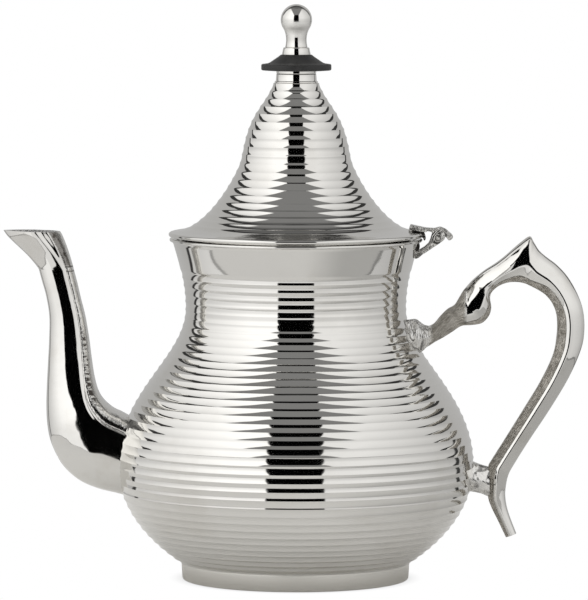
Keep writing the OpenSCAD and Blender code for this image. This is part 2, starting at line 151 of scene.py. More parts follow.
def turned(outline, closed=True, steps=ROUND_STEPS):
    """An outline of (radius, height) spun about the pot's axis."""
    bm = bmesh.new()
    verts = [bm.verts.new((r * MM, 0, z * MM)) for r, z in outline]
    edges = [bm.edges.new(pair) for pair in zip(verts, verts[1:])]
    if closed:
        edges.append(bm.edges.new((verts[-1], verts[0])))
    bmesh.ops.spin(bm, geom=verts + edges, cent=(0, 0, 0), axis=(0, 0, 1), dvec=(0, 0, 0),
                   angle=2 * math.pi, steps=steps, use_merge=True)
    return bm


def new_loft():
    """An empty bmesh whose points remember their place on the piece, for its finish."""
    bm = bmesh.new()
    bm.verts.layers.float_vector.new("place")
    return bm


def loft(bm, rings, places):
    """Extrudes one loop of edges from ring to ring; gives its first and last loop."""
    layer = bm.verts.layers.float_vector["place"]
    verts = [bm.verts.new(p) for p in rings[0]]
    count = len(verts)
    loop = [bm.edges.new((verts[i], verts[(i + 1) % count])) for i in range(count)]
    start = loop
    for ring, place in zip(rings, places):
        if ring is not rings[0]:
            made = bmesh.ops.extrude_edge_only(bm, edges=loop)["geom"]
            loop = [e for e in made if isinstance(e, bmesh.types.BMEdge) and len(e.link_faces) == 1]
            new = set(made)
            verts = [next(e.other_vert(v) for e in v.link_edges if e.other_vert(v) in new) for v in verts]
        for v, p, mark in zip(verts, ring, place):
            v.co = p
            v[layer] = mark
    return start, loop


# ---------------------------------------------------------------- measures that pieces and finishes share

# Bezier curves down the outside of the body and of the lid, on the ridges of the ribs
COLLAR = [(51.5, 141.4), (47.2, 127.5), (46.1, 121), (46.1, 113)]
UPPER = [(46.1, 113), (46.1, 93), (74.5, 78), (74.5, 47.5)]
LOWER = [(74.5, 47.5), (74.5, 37.4), (70, 21.3), (48.1, 7)]
LID_TIP = [(9.5, 207), (13.5, 196.4), (19.8, 196.2), (22.9, 175.5)]
LID_FLARE = [(22.9, 175.5), (23.4, 172.2), (34.4, 149.6), (47.8, 145.7)]
body_line = chain([COLLAR, UPPER, LOWER], 64)
lid_line = chain([LID_TIP, LID_FLARE], 64)
SHEET = 0.9
MOUTH_R, RIB_TOP = COLLAR[0][0], 129.6
BODY_COVES, BODY_COVE, BODY_COVE_GROWTH = 40, 0.28, 0.05
LID_COVES, LID_COVE, LID_PLAIN_EDGE = 20, 0.28, 2.0
FOOT_R, FOOT_H, FOOT_WALL, FOOT_TAPER = 47.7, 7.0, 1.5, 0.4
NECK_R, NECK_Z = 8.3, 212.2
NECK_FOOT_R, NECK_FOOT_Z = 9.1, 207.6
STUD_R = 2.0
RING_H, KNOB_COLLAR_H = 6.6, 3.0
BALL_R, TOP_Z = 6.5, 239.8
PIN_X, PIN_Z, PIN_R = 58.9, 142.95, 1.0
# Places across the spout's section, from the lip side at -1 to the pot side at 1
WIDEST, CREASE, BACK = 0.12, 0.56, 0.66
GROOVE_FROM = CREASE + 0.02


# ---------------------------------------------------------------- finishes

class Wire:
    """One output in a node tree, so that arithmetic on it is written as arithmetic."""

    def __init__(self, finish, socket):
        self.finish = finish
        self.socket = socket

    def __add__(self, other):
        return self.finish.maths("ADD", self, other)

    def __radd__(self, other):
        return self.finish.maths("ADD", other, self)

    def __sub__(self, other):
        return self.finish.maths("SUBTRACT", self, other)

    def __rsub__(self, other):
        return self.finish.maths("SUBTRACT", other, self)

    def __mul__(self, other):
        return self.finish.maths("MULTIPLY", self, other)

    def __rmul__(self, other):
        return self.finish.maths("MULTIPLY", other, self)

    def __truediv__(self, other):
        return self.finish.maths("DIVIDE", self, other)

    def __pow__(self, other):
        return self.finish.maths("POWER", self, other)

    def __abs__(self):
        return self.finish.maths("ABSOLUTE", self)


class Finish:
    """A node tree under construction. add() makes any node: settings first, then its sockets."""

    def __init__(self, owner):
        owner.use_nodes = True
        self.owner = owner
        self.tree = owner.node_tree
        self.tree.nodes.clear()

    def add(self, kind, settings=None, sockets=None, out=0):
        node = self.tree.nodes.new(kind)
        for key, value in (settings or {}).items():
            setattr(node, key, value)
        for key, value in (sockets or {}).items():
            socket = node.inputs[key]
            if isinstance(value, Wire):
                self.tree.links.new(value.socket, socket)
            else:
                socket.default_value = value
        return Wire(self, node.outputs[out]) if node.outputs else None

    def maths(self, operation, *values):
        return self.add("ShaderNodeMath", {"operation": operation}, dict(enumerate(values)))

    def place(self):
        return self.add("ShaderNodeTexCoord", out="Object")

    def parts(self, vector):
        split = self.add("ShaderNodeSeparateXYZ", None, {"Vector": vector})
        outputs = split.socket.node.outputs
        return [Wire(self, outputs[i]) for i in range(3)]

    def vector(self, x, y, z):
        return self.add("ShaderNodeCombineXYZ", None, {"X": x, "Y": y, "Z": z})

    def stretched(self, vector, scale):
        return self.add("ShaderNodeMapping", None, {"Vector": vector, "Scale": scale})

    def noise(self, vector, scale, detail=2.0, roughness=0.5):
        return self.add("ShaderNodeTexNoise", None, {"Vector": vector, "Scale": scale, "Detail": detail,
                                                     "Roughness": roughness}, out="Fac")

    def step(self, value, low, high):
        """0 below low, 1 above high, smooth between."""
        return self.add("ShaderNodeMapRange", {"interpolation_type": "SMOOTHSTEP"},
                        {"Value": value, "From Min": low, "From Max": high, "To Min": 0.0, "To Max": 1.0})

    def band(self, value, rise, fall):
        """0, then 1 past the pair rise, then 0 again past the pair fall."""
        return self.step(value, *rise) * (1 - self.step(value, *fall))

    def blend(self, factor, a, b):
        """Mixes two numbers."""
        return self.add("ShaderNodeMix", {"data_type": "FLOAT"}, {"Factor": factor, "A": a, "B": b})

    def tint(self, factor, a, b):
        """Mixes two colours."""
        a, b = (c if isinstance(c, Wire) else (*c, 1.0) for c in (a, b))
        return self.add("ShaderNodeMix", {"data_type": "RGBA"}, {0: factor, 6: a, 7: b}, out=2)

    def bump(self, height, distance, under=None):
        sockets = {"Height": height, "Distance": distance, "Strength": 1.0}
        if under:
            sockets["Normal"] = under
        return self.add("ShaderNodeBump", None, sockets)

    def surface(self, colour, rough, normal, metal=1.0):
        shader = self.add("ShaderNodeBsdfPrincipled", None, {"Base Color": colour, "Metallic": metal,
                                                             "Roughness": rough, "Normal": normal})
        self.add("ShaderNodeOutputMaterial", None, {"Surface": shader})
        return self.owner


def new_finish(name):
    return Finish(bpy.data.materials.new(name))


NICKEL, STAIN = (0.80, 0.79, 0.765), (0.70, 0.68, 0.64)
SATIN_NICKEL = (0.76, 0.745, 0.71)
INNER_NICKEL, INNER_STAIN = (0.70, 0.685, 0.65), (0.60, 0.56, 0.49)
STEEL, STEEL_STAIN = (0.62, 0.62, 0.62), (0.5, 0.49, 0.47)
RAW_GRIP, RAWEST_GRIP = (0.63, 0.60, 0.55), (0.27, 0.25, 0.215)
RAW_SPOUT, DARKEST_SPOUT = (0.76, 0.75, 0.725), (0.10, 0.09, 0.08)
# The hinge castings, and the dark colour of their pits and of their painted shade
PITTED, PIT_AND_SHADE = (0.78, 0.77, 0.74), (0.03, 0.028, 0.025)
# Painted shade for the hinge's sheltered leaves, and the lighter colour of its patches
RECESS_SHADE, LIGHTER_PATCH = (0.045, 0.042, 0.038), (0.6, 0.59, 0.57)
SOLDER, SOLDER_SHADE = (0.8, 0.79, 0.77), (0.1, 0.095, 0.09)
BRASS, DULL_BRASS = (0.62, 0.50, 0.28), (0.40, 0.31, 0.18)
BLACK, WORN_BLACK = (0.012, 0.012, 0.012), (0.035, 0.034, 0.033)

LATHE_RINGS = 900.0  # turning marks, in cycles per metre
# The knob's throat under the ball, which the wheel doesn't reach: its height and how far it runs either way
KNOB_THROAT, THROAT_REACH = 229.7 * MM, 4.2 * MM

# Finish of the spout, as pairs of places between which each mark comes and goes: up the spout in metres, and
# across from the crease. The crinkled strip and the beak's dark panel lie on the pot side of the crease.
CRINKLE_UP = (0.07, 0.076), (0.1, 0.108)
CRINKLE_ACROSS = (0.1, 0.15), (0.24, 0.32)
PANEL_ACROSS = (0.02, 0.05), (0.3, 0.34)
BEAK_FROM = (0.1308, 0.1315)
BEAD_UP = (0.1289, 0.1292), (0.1303, 0.1306)
# Up the spout, the bands either side of the bead, where dark lines are painted as shade in its grooves
GROOVE_SHADE_UP = (0.1284, 0.1287), (0.1309, 0.1312)
# The part of the handle's arm that is left as cast all round, along X in metres
RAW_ARM = (0.0555, 0.0575), (0.0695, 0.0715)


def spun_nickel(name, colour, stain, rough, mark):
    """Plated sheet polished on the lathe: faint rings, slow waves and a little tarnish."""
    f = new_finish(name)
    place = f.place()
    x, y, z = f.parts(place)
    radius = (x * x + y * y) ** 0.5
    marks = f.noise(f.vector(radius * LATHE_RINGS, 0.0, z * LATHE_RINGS), 1.0, detail=3.0)
    waves = f.noise(place, 70.0, detail=1.0)
    tarnish = f.step(f.noise(place, 28.0, detail=4.0, roughness=0.6), 0.5, 0.75)
    return f.surface(colour=f.tint(tarnish * 0.5, colour, stain),
                     rough=rough + marks * 0.03 + tarnish * 0.02,
                     normal=f.bump(waves, 0.12 * MM, under=f.bump(marks, mark)))


def cast_nickel(name, colour, stain, rough, wave, grain, throat=None):
    """Plated casting, filed and buffed by hand: uneven waves, pits and short scratches, and duller round the
    height of a throat."""
    f = new_finish(name)
    place = f.place()
    waves = f.noise(place, 95.0, detail=2.0)
    scratch = f.noise(f.stretched(place, (300.0, 1800.0, 1800.0)), 1.0, detail=2.0)
    dull = f.step(f.noise(place, 60.0, detail=5.0, roughness=0.65), 0.48, 0.72)
    if throat:
        x, y, z = f.parts(place)
        rough = rough + (1 - f.step(abs(z - throat), THROAT_REACH * 0.3, THROAT_REACH)) * 0.36
    return f.surface(colour=f.tint(dull * 0.7, colour, stain),
                     rough=rough + dull * 0.06 + scratch * 0.03,
                     normal=f.bump(waves, wave, under=f.bump(scratch, grain)))


def half_polished(name, raw, darkest, raw_rough, spout=False):
    """A plated casting, buffed outside. Past its edge line, where the first number of "place" turns positive,
    it is left as cast, and the spout has its strip, panel and seam there, with painted shade in the grooves
    either side of the seam's bead. The handle's arm is as cast all round."""
    f = new_finish(name)
    place = f.place()
    x, y, z = f.parts(place)
    past, depth, along = f.parts(f.add("ShaderNodeAttribute", {"attribute_name": "place"}, out="Vector"))
    back = f.step(past, 0.0, 0.02)
    waves = f.noise(place, 95.0, detail=2.0)
    dull = f.step(f.noise(place, 60.0, detail=5.0, roughness=0.65), 0.48, 0.72)
    strokes = f.noise(f.vector(past * 30, depth * 8, along * 0.35), 1.0, detail=4.0, roughness=0.7)
    lumps = f.noise(place, 320.0, detail=4.0, roughness=0.6)
    if spout:
        crinkle = f.noise(f.vector(past * 4, depth * 2, z * 1000), 1.0, detail=3.0, roughness=0.6)
        strip = f.band(past, *CRINKLE_ACROSS) * f.band(z, *CRINKLE_UP)
        panel = f.band(past, *PANEL_ACROSS) * f.step(z, *BEAK_FROM)
        bead = f.band(z, *BEAD_UP)
        # Painted shade: dark lines either side of the bead, in its grooves
        groove = f.band(z, *GROOVE_SHADE_UP) * (1 - bead)
        dirt_and_shade = f.step(crinkle, 0.47, 0.56) * strip + panel * (0.75 + f.step(lumps, 0.5, 0.6) * 0.25)
        # The grooves' painted shade is added to the darkening of the strip and the panel
        dirt_and_shade = f.maths("MINIMUM", dirt_and_shade + groove * 0.8, 1.0)
        # Most of the skin's strokes are taken off again here, because only the handle shows them
        lumps = (lumps - 0.5) * 0.3 + (crinkle - 0.5) * strip * 0.8 + bead * 0.25 - strokes * 0.33 + 0.16
    else:
        back = f.maths("MAXIMUM", back, f.band(x, *RAW_ARM))
        dirt_and_shade = f.step(strokes + lumps * 0.5, 0.6, 0.95)
    skin = f.blend(back, waves * (0.12 * MM), lumps * (1.2 * MM) + strokes * (0.4 * MM))
    return f.surface(colour=f.tint(back, f.tint(dull * 0.6, NICKEL, STAIN), f.tint(dirt_and_shade, raw, darkest)),
                     rough=f.blend(back, 0.05 + dull * 0.03, raw_rough + dirt_and_shade * 0.16),
                     normal=f.bump(skin, 1.0))


def shaded_recess():
    """The sheltered leaves of the hinge: painted shade, near black, lighter in patches."""
    f = new_finish("shaded_recess")
    lighter_patches = f.step(f.noise(f.place(), 700.0, detail=3.0, roughness=0.6), 0.56, 0.68)
    # Near black painted shade, lighter in patches from noise
    return f.surface(colour=f.tint(lighter_patches, RECESS_SHADE, LIGHTER_PATCH), rough=0.32, normal=f.bump(lighter_patches, 0.1 * MM))


def rough_casting():
    """The small hinge castings, barely filed: lumps and pits, with painted shade in a ring round the rivet
    and in the hollow beside it.
    """
    f = new_finish("rough_casting")
    place = f.place()
    x, y, z = f.parts(place)
    away = ((x - PIN_X * MM) ** 2 + (z - PIN_Z * MM) ** 2) ** 0.5 * 1000
    # Painted shade: a dark ring round the rivet's head, and a dark band in the hollow beside it
    ring = f.band(away, (0.85, 0.95), (1.2, 1.35))
    hollow = f.band(away, (1.7, 1.85), (2.5, 2.8)) * (1 - f.step(x, 0.0595, 0.0605))
    lumps = f.noise(place, 420.0, detail=3.0, roughness=0.6)
    pits = f.step(f.noise(place, 900.0, detail=3.0, roughness=0.7), 0.46, 0.62)
    clean_and_lit = (1 - f.step(lumps, 0.52, 0.62) * 0.7) * (1 - pits * 0.35)
    # The ring and the hollow darken as painted shade
    clean_and_lit = clean_and_lit * (1 - ring * 0.9) * (1 - hollow * 0.9)
    return f.surface(colour=f.tint(1 - clean_and_lit, PITTED, PIT_AND_SHADE), rough=0.2 + pits * 0.2,
                     normal=f.bump(lumps, 0.9 * MM, under=f.bump(pits, 0.06 * MM)))


def soldered_casting(name, scale, depth):
    """The handle's feet, wiped with solder and left uneven; scale sets how its runs are drawn out."""
    f = new_finish(name)
    runs = f.noise(f.stretched(f.place(), scale), 1.0, detail=2.5)
    dark = f.step(runs, 0.6, 0.68) * 0.75
    return f.surface(colour=f.tint(dark, SOLDER, SOLDER_SHADE), rough=0.24 + dark * 0.1,
                     normal=f.bump(runs, depth))


def brass_sheet():
    f = new_finish("brass_sheet")
    cloud = f.noise(f.place(), 45.0, detail=5.0, roughness=0.6)
    dull = f.step(cloud, 0.4, 0.7)
    return f.surface(colour=f.tint(dull, BRASS, DULL_BRASS), rough=0.32 + dull * 0.2,
                     normal=f.bump(cloud, 0.1 * MM))


def black_plastic():
    f = new_finish("black_plastic")
    place = f.place()
    grain = f.noise(place, 1400.0, detail=3.0)
    wear = f.step(f.noise(place, 160.0, detail=4.0), 0.5, 0.75)
    return f.surface(colour=f.tint(wear * 0.4, BLACK, WORN_BLACK), rough=0.42 + grain * 0.12 + wear * 0.1,
                     normal=f.bump(grain, 0.04 * MM), metal=0.0)


polished_sheet = spun_nickel("polished_sheet", NICKEL, STAIN, rough=0.035, mark=0.0015 * MM)
satin_sheet = spun_nickel("satin_sheet", SATIN_NICKEL, STAIN, rough=0.2, mark=0.006 * MM)
inner_sheet = spun_nickel("inner_sheet", INNER_NICKEL, INNER_STAIN, rough=0.22, mark=0.006 * MM)
cast_bright = cast_nickel("cast_bright", NICKEL, STAIN, rough=0.05, wave=0.22 * MM, grain=0.004 * MM)
cast_knob = cast_nickel("cast_knob", NICKEL, STAIN, rough=0.05, wave=0.22 * MM, grain=0.004 * MM,
                        throat=KNOB_THROAT)
steel = cast_nickel("steel", STEEL, STEEL_STAIN, rough=0.25, wave=0.1 * MM, grain=0.01 * MM)
cast_spout = half_polished("cast_spout", RAW_SPOUT, DARKEST_SPOUT, raw_rough=0.1, spout=True)
cast_grip = half_polished("cast_grip", RAW_GRIP, RAWEST_GRIP, raw_rough=0.26)
cast_hinge = rough_casting()
hinge_recess = shaded_recess()
upper_solder = soldered_casting("upper_solder", (620.0, 300.0, 80.0), 2.2 * MM)
lower_solder = soldered_casting("lower_solder", (110.0, 90.0, 140.0), 3.4 * MM)
unplated_brass = brass_sheet()
ring_black = black_plastic()


# ---------------------------------------------------------------- turned pieces

def make_body():
    """Both spun pieces of the body as one skin, from the collar's rolled mouth to the foot band."""
    lengths = running_lengths(body_line)
    rib_start = next(s for p, s in zip(body_line, lengths) if p.y <= RIB_TOP)
    wall = SHEET + BODY_COVE
    lip = [(50.8, 142.4)] + arc((51.9, 141.8), 0.8, 0.7, range(90, -61, -15)) + [(51.6, 141.1)]
    lip_end, collar_steps = 0.7, 24
    collar = [point_at(body_line, lengths, lip_end + (rib_start - lip_end) * i / collar_steps)
              for i in range(1, collar_steps)]
    ribs = coves(body_line, rib_start, lengths[-1], BODY_COVES, BODY_COVE, BODY_COVE_GROWTH)
    seat_on_foot = [body_line[-1], (FOOT_R - FOOT_WALL + 0.3, FOOT_H)]
    bore = inset_curve(chain([COLLAR, UPPER, LOWER], 14), wall)[1:-1]
    outline = [(MOUTH_R - wall, 142.2)] + lip + collar + ribs + seat_on_foot + bore[::-1]
    return finish_piece("ribbed_body", turned(outline), [polished_sheet], "pot",
                        ["body_shell", "neck_shell"])


def make_lid():
    """The lid from the neck under the black ring, with its turned groove, to the rolled rim."""
    lengths = running_lengths(lid_line)
    ribs = coves(lid_line, 0.0, lengths[-1] - LID_PLAIN_EDGE, LID_COVES, LID_COVE, 0.0)
    bore = inset_curve(chain([LID_TIP, LID_FLARE], 14), SHEET + LID_COVE)
    neck = [(STUD_R, NECK_Z), (NECK_R - 0.1, NECK_Z), (NECK_R, NECK_Z - 0.15), (NECK_R, NECK_Z - 0.95),
            (NECK_R - 0.1, NECK_Z - 1.05), (NECK_R - 0.15, NECK_Z - 1.2), (NECK_R - 0.1, NECK_Z - 1.35),
            (NECK_R + 0.02, NECK_Z - 1.5), (NECK_R + 0.2, NECK_FOOT_Z + 0.5),
            (NECK_R + 0.3, NECK_FOOT_Z + 0.3), (NECK_FOOT_R - 0.1, NECK_FOOT_Z + 0.15),
            (NECK_FOOT_R - 0.05, NECK_FOOT_Z),
            (NECK_FOOT_R - 0.15, NECK_FOOT_Z - 0.15), (NECK_FOOT_R - 0.15, NECK_FOOT_Z - 0.35)]
    ledge = [(47.8, 145.7), (49.5, 145.35), (51.2, 145.1)]
    rim = arc((52.1, 144), 0.95, 0.95, range(85, -91, -11)) + [(50.3, 143.3)]
    inside_tip = [(NECK_R - 1, 206), (NECK_R - 1, NECK_Z - 1), (STUD_R, NECK_Z - 1)]
    outline = neck + ribs + ledge + rim + bore[::-1] + inside_tip
    return finish_piece("ribbed_lid", turned(outline), [polished_sheet], "lid", ["lid_shell"])


def make_foot():
    inner, low = FOOT_R - FOOT_WALL, FOOT_R - FOOT_TAPER
    outline = [(inner, FOOT_H), (inner, 0.2), (inner + 0.2, 0), (low - 0.5, 0), (low - 0.25, 0.08),
               (low - 0.08, 0.3), (low, 0.7), (FOOT_R - 0.03, FOOT_H - 0.7), (FOOT_R - 0.06, FOOT_H)]
    return finish_piece("foot_band", turned(outline), [satin_sheet], "pot", ["foot_ring"])


def make_ring():
    z = NECK_Z
    outline = [(STUD_R, z), (12, z), (14.2, z + 0.15), (14.5, z + 0.35), (14.6, z + 0.7), (14.6, z + 2.2),
               (14.5, z + 2.5), (14.2, z + 2.7), (12, z + 3), (11, z + 3.4), (7.2, z + 6.0),
               (6.5, z + RING_H), (STUD_R, z + RING_H)]
    return finish_piece("black_ring", turned(outline, steps=SMALL_ROUND_STEPS), [ring_black], "lid",
                        ["insulator_ring"])


def make_collar():
    z = NECK_Z + RING_H
    outline = [(STUD_R, z), (5.75, z), (5.9, z + 0.1), (5.93, z + 0.35), (5.46, z + 2.6), (5.38, z + 2.85),
               (5.2, z + KNOB_COLLAR_H), (STUD_R, z + KNOB_COLLAR_H)]
    return finish_piece("knob_collar", turned(outline, steps=SMALL_ROUND_STEPS), [cast_bright], "lid",
                        ["finial_collar"], sharp=45)


def make_knob():
    """A ball that runs into a waisted neck without an edge, at the radius join_r."""
    z, join_r = NECK_Z + RING_H + KNOB_COLLAR_H, 5.5
    centre_z = TOP_Z - BALL_R
    join_z = centre_z - (BALL_R ** 2 - join_r ** 2) ** 0.5
    waist = [(4.62, z + 0.25), (4.0, z + 2.6), (join_r - 1.39, join_z - 2.2), (join_r, join_z)]
    neck = [bezier(waist, i / 20) for i in range(20)]
    low = math.degrees(math.asin((join_z - centre_z) / BALL_R))
    ball = arc((0, centre_z), BALL_R, BALL_R, [low + (90 - low) * i / 28 for i in range(28)])
    outline = [(0, z), (4.4, z), (4.55, z + 0.08)] + neck + ball + [(0, TOP_Z)]
    return finish_piece("ball_knob", turned(outline, closed=False, steps=SMALL_ROUND_STEPS), [cast_knob],
                        "lid", ["finial_knob"], sharp=50)


# ---------------------------------------------------------------- spout

# Rows up the spout: x and z of its lip side, x and z of its pot side, and its depth across. The beak's rows
# end with how far its lip side narrows.
SPOUT = [(-75.2, 35.9, -68.6, 67.4, 30), (-82.3, 37.6, -72.3, 69.5, 29.5), (-90, 40.9, -75.7, 71.1, 29),
         (-96.1, 46, -78, 72.8, 28), (-99.5, 51, -79.8, 74.5, 27), (-102.4, 57.7, -81.6, 77, 25.5),
         (-103.7, 64.4, -82.9, 80, 23.5), (-104.1, 72, -83.9, 84, 21.2), (-103.9, 80, -84.6, 88, 19.2),
         (-103.4, 90, -85.4, 94, 17.2), (-102.9, 100, -86.3, 101, 15.4), (-102.8, 109.7, -87.8, 109.8, 14.2),
         (-104.1, 118.1, -89.6, 117, 13.6), (-105.8, 124.3, -91.1, 123.5, 13.5),
         (-107.2, 129.5, -92.6, 129.2, 13.6)]
BEAK = [(-107.2, 129.5, -92.6, 129.2, 13.6, 0), (-108.6, 131.4, -93.2, 131.6, 13.9, 0.05),
        (-111.6, 134.9, -94.3, 135.3, 14.8, 0.15), (-114.6, 137.8, -95.4, 138.6, 15.8, 0.3),
        (-117.6, 140.6, -96.5, 141.5, 16.8, 0.45), (-120.2, 143.2, -97.4, 143.6, 17.6, 0.55),
        (-121.9, 145.6, -98.2, 145, 18.0, 0.6)]
SPOUT_WALL, BEAK_WALL = 1.6, 1.4
SPOUT_STEPS = 5
ROOT_TILT = 15


def spout_section(spread):
    """The spout's section as (place, share of the half depth): a round front, a flank, a facet from the fold
    to the crease, a groove and a round back. A spread of 1 widens the facet, as on the beak."""
    fold, fold_share = CREASE - 0.1 - 0.13 * spread, 0.955 - 0.065 * spread
    crease_share, groove_share = 0.918 - 0.03 * spread, 0.87 - 0.035 * spread
    front = [(WIDEST - (1 + WIDEST) * cosd(a) ** 0.8, sind(a) ** 0.8) for a in range(0, 90, 5)]
    flank = [(WIDEST + (fold - WIDEST) * u, 1 - (1 - fold_share) * u * u)
             for u in (0, 0.2, 0.4, 0.6, 0.8, 0.95)]
    facet = [(fold + 0.01 + (CREASE - fold - 0.01) * u, fold_share - 0.002 + (crease_share - fold_share) * u)
             for u in (0, 0.3, 0.7, 1)]
    groove = [(GROOVE_FROM, groove_share + 0.04), (CREASE + 0.04, groove_share + 0.01 * spread),
              (CREASE + 0.06, groove_share - 0.01), (CREASE + 0.08, groove_share - 0.03 * spread)]
    back = [(BACK + (1 - BACK) * sind(a) ** 0.85,
             (groove_share - 0.04 * spread) * cosd(a) ** 0.85 * (1 - 0.25 * spread * sind(a)))
            for a in range(0, 91, 9)]
    half = front + flank + facet + groove + back
    return half + [(s, -w) for s, w in half[-2:0:-1]]


def spout_ring(row, wall):
    """One ring of the spout, with a wall taken off all round."""
    a, b = Vector((row[0], row[1])), Vector((row[2], row[3]))
    u = (b - a).normalized()
    centre, half, deep = (a + b) / 2, (b - a).length / 2 - wall, row[4] / 2 - wall
    nip = row[5] if len(row) > 5 else 0.0
    ring = []
    for s, w in spout_section(min(1.0, nip * 2)):
        q = centre + u * half * s
        ring.append(Vector((q.x, deep * w * (1 - nip * max(0.0, -s) ** 1.5), q.y)) * MM)
    return ring


def root_radius(z):
    """Radius of the body at the bottom of its coves."""
    line = inset_curve(body_line, BODY_COVE)
    for a, b in zip(line, line[1:]):
        if b.y <= z <= a.y:
            t = (a.y - z) / (a.y - b.y)
            return a.x + (b.x - a.x) * t
    return 0.0


def seat(point, direction):
    """Slides a point until it lies on the body at the bottom of its coves."""
    low, high = -8 * MM, 30 * MM
    for _ in range(18):
        mid = (low + high) / 2
        q = point + direction * mid
        if math.hypot(q.x, q.y) > root_radius(q.z / MM) * MM:
            low = mid
        else:
            high = mid
    return point + direction * low


def walled_tube(rows, wall, seated=None):
    """A tube with a bore; seated is the direction in which its first ring slides onto the body."""
    rows = spline_rows(rows, SPOUT_STEPS)
    outer = [spout_ring(r, 0) for r in rows]
    inner = [spout_ring(r, wall) for r in rows]
    if seated:
        outer[0] = [seat(p, seated) for p in outer[0]]
        inner[0] = [seat(p, seated) for p in inner[0]]
    bm = new_loft()
    outer_places = [(s - GROOVE_FROM, w, 0) for s, w in spout_section(0)]
    inner_places = [(1, 0, 0)] * len(outer_places)
    out_start, out_end = loft(bm, outer, [outer_places] * len(rows))
    in_start, in_end = loft(bm, inner, [inner_places] * len(rows))
    bmesh.ops.bridge_loops(bm, edges=out_start + in_start)
    bmesh.ops.bridge_loops(bm, edges=out_end + in_end)
    return bm


def make_spout():
    into_body = Vector((cosd(ROOT_TILT), 0, -sind(ROOT_TILT)))
    finish_piece("gooseneck", walled_tube(SPOUT, SPOUT_WALL, into_body), [cast_spout], "pot", ["spout_tube"],
                 sharp=50)
    finish_piece("beak", walled_tube(BEAK, BEAK_WALL), [cast_spout], "pot", ["spout_beak"],
                 sharp=50)


# ---------------------------------------------------------------- handle

# Rows along the handle: x and z of its outer edge, x and z of its inner edge, and its half depth
GRIP = [(55.5, 105.9, 55.5, 97.6, 5.2), (57.7, 107, 58.2, 99.4, 5), (60.2, 110, 61.5, 101.2, 4.8),
        (63.1, 112.9, 65, 103.4, 4.8), (66, 114.6, 69, 106, 5), (67.6, 117, 73.2, 106.4, 5.4),
        (69.6, 120.4, 77.4, 107.2, 5.8), (71.6, 122.9, 80.3, 110, 5.8), (73.6, 125.1, 81.4, 113.6, 5.5),
        (76, 127.2, 80.9, 117.6, 5.2), (79, 129.5, 81.6, 120.1, 5), (83.2, 132.2, 84.3, 122.6, 5),
        (86.6, 134.8, 87.6, 124, 5), (90, 137.8, 90.4, 124.4, 5.1), (93.6, 140.9, 93, 124.3, 5.2),
        (97.4, 143.4, 95.6, 123.7, 5.2), (99.1, 141, 97.6, 122.8, 5.3), (101.4, 137.4, 99.4, 121.9, 5.4),
        (104.6, 134.6, 101.6, 120.7, 5.4), (108.7, 131.5, 104, 119, 5.5), (113.3, 126.5, 106.4, 116.2, 5.5),
        (117.4, 119.4, 108.2, 112.6, 5.5), (119.8, 112.4, 109, 108.4, 5.5), (120.4, 104.4, 108.9, 102.2, 5.4),
        (119.1, 96.3, 107.4, 93.8, 5.2), (114.1, 84.5, 102.2, 82.6, 4.9), (106.2, 71.1, 95.3, 71.1, 4.7),
        (97.4, 57.7, 87.3, 58.1, 4.6), (91.4, 48, 81.8, 49.3, 4.6), (88.9, 43.2, 80.6, 46.6, 4.6),
        (87.8, 37.6, 80.4, 38.6, 4.5), (87.8, 33.6, 80.6, 33.6, 4.3), (88.6, 29.2, 82.1, 29.4, 3.8),
        (90.3, 24.2, 84.6, 24.4, 3.3), (92.4, 18.9, 88, 17.3, 2.8)]
UPPER_FOOT = [(46.5, 108.4, 52.3, 95, 5.6), (49.9, 108.8, 53.5, 96, 5.5), (51.7, 107.7, 54.2, 96.8, 5.3),
              (53.5, 106.4, 54.9, 97.3, 5.2), (55.5, 105.9, 55.5, 97.6, 5.2)]
LOWER_FOOT = [(73, 49.6, 71, 36.9, 5), (76.4, 48.2, 74.8, 36.3, 4.7), (79.2, 47.3, 77.8, 35.6, 4.6),
              (81, 46.9, 81, 34.2, 4.6)]
# Section of the handle at a few rows, from the outer edge at 0 to the inner edge at 1: the place and the
# share of the half depth of the outer line, the ridge and the start of the unpolished inner face
FOOT_KEYS = {0: (0.50, 1.00, 0.55, 1.00, 0.86, 0.74), 4: (0.50, 1.00, 0.55, 1.00, 0.86, 0.74)}
GRIP_KEYS = {0: (0.48, 1.00, 0.54, 1.00, 0.86, 0.74), 4: (0.46, 1.00, 0.54, 1.00, 0.86, 0.74),
             6: (0.34, 1.00, 0.66, 1.00, 0.84, 0.72), 8: (0.38, 1.00, 0.62, 1.00, 0.84, 0.72),
             9: (0.52, 1.00, 0.66, 0.99, 0.84, 0.72), 10: (0.60, 1.00, 0.70, 0.97, 0.86, 0.72),
             11: (0.56, 1.00, 0.66, 0.94, 0.86, 0.74), 12: (0.50, 1.00, 0.62, 0.92, 0.84, 0.76),
             13: (0.43, 1.00, 0.60, 0.94, 0.82, 0.78), 14: (0.26, 0.96, 0.56, 0.98, 0.82, 0.80),
             15: (0.06, 0.62, 0.55, 1.00, 0.86, 0.82), 16: (0.03, 0.32, 0.56, 1.00, 0.86, 0.82),
             17: (0.02, 0.22, 0.57, 1.00, 0.82, 0.84), 19: (0.02, 0.20, 0.55, 1.00, 0.74, 0.88),
             22: (0.02, 0.20, 0.53, 1.00, 0.68, 0.92), 27: (0.02, 0.20, 0.50, 1.00, 0.65, 0.93),
             29: (0.02, 0.20, 0.50, 1.00, 0.65, 0.93), 30: (0.06, 0.40, 0.52, 1.00, 0.68, 0.92),
             31: (0.10, 0.60, 0.55, 1.00, 0.70, 0.91), 34: (0.14, 0.75, 0.56, 1.00, 0.72, 0.88)}
BAR_STEPS = 4
RIDGE_SOFT = 0.03
LEDGE, LEDGE_DROP = 0.03, 0.06  # the step down from the polished flank to the unpolished inner face


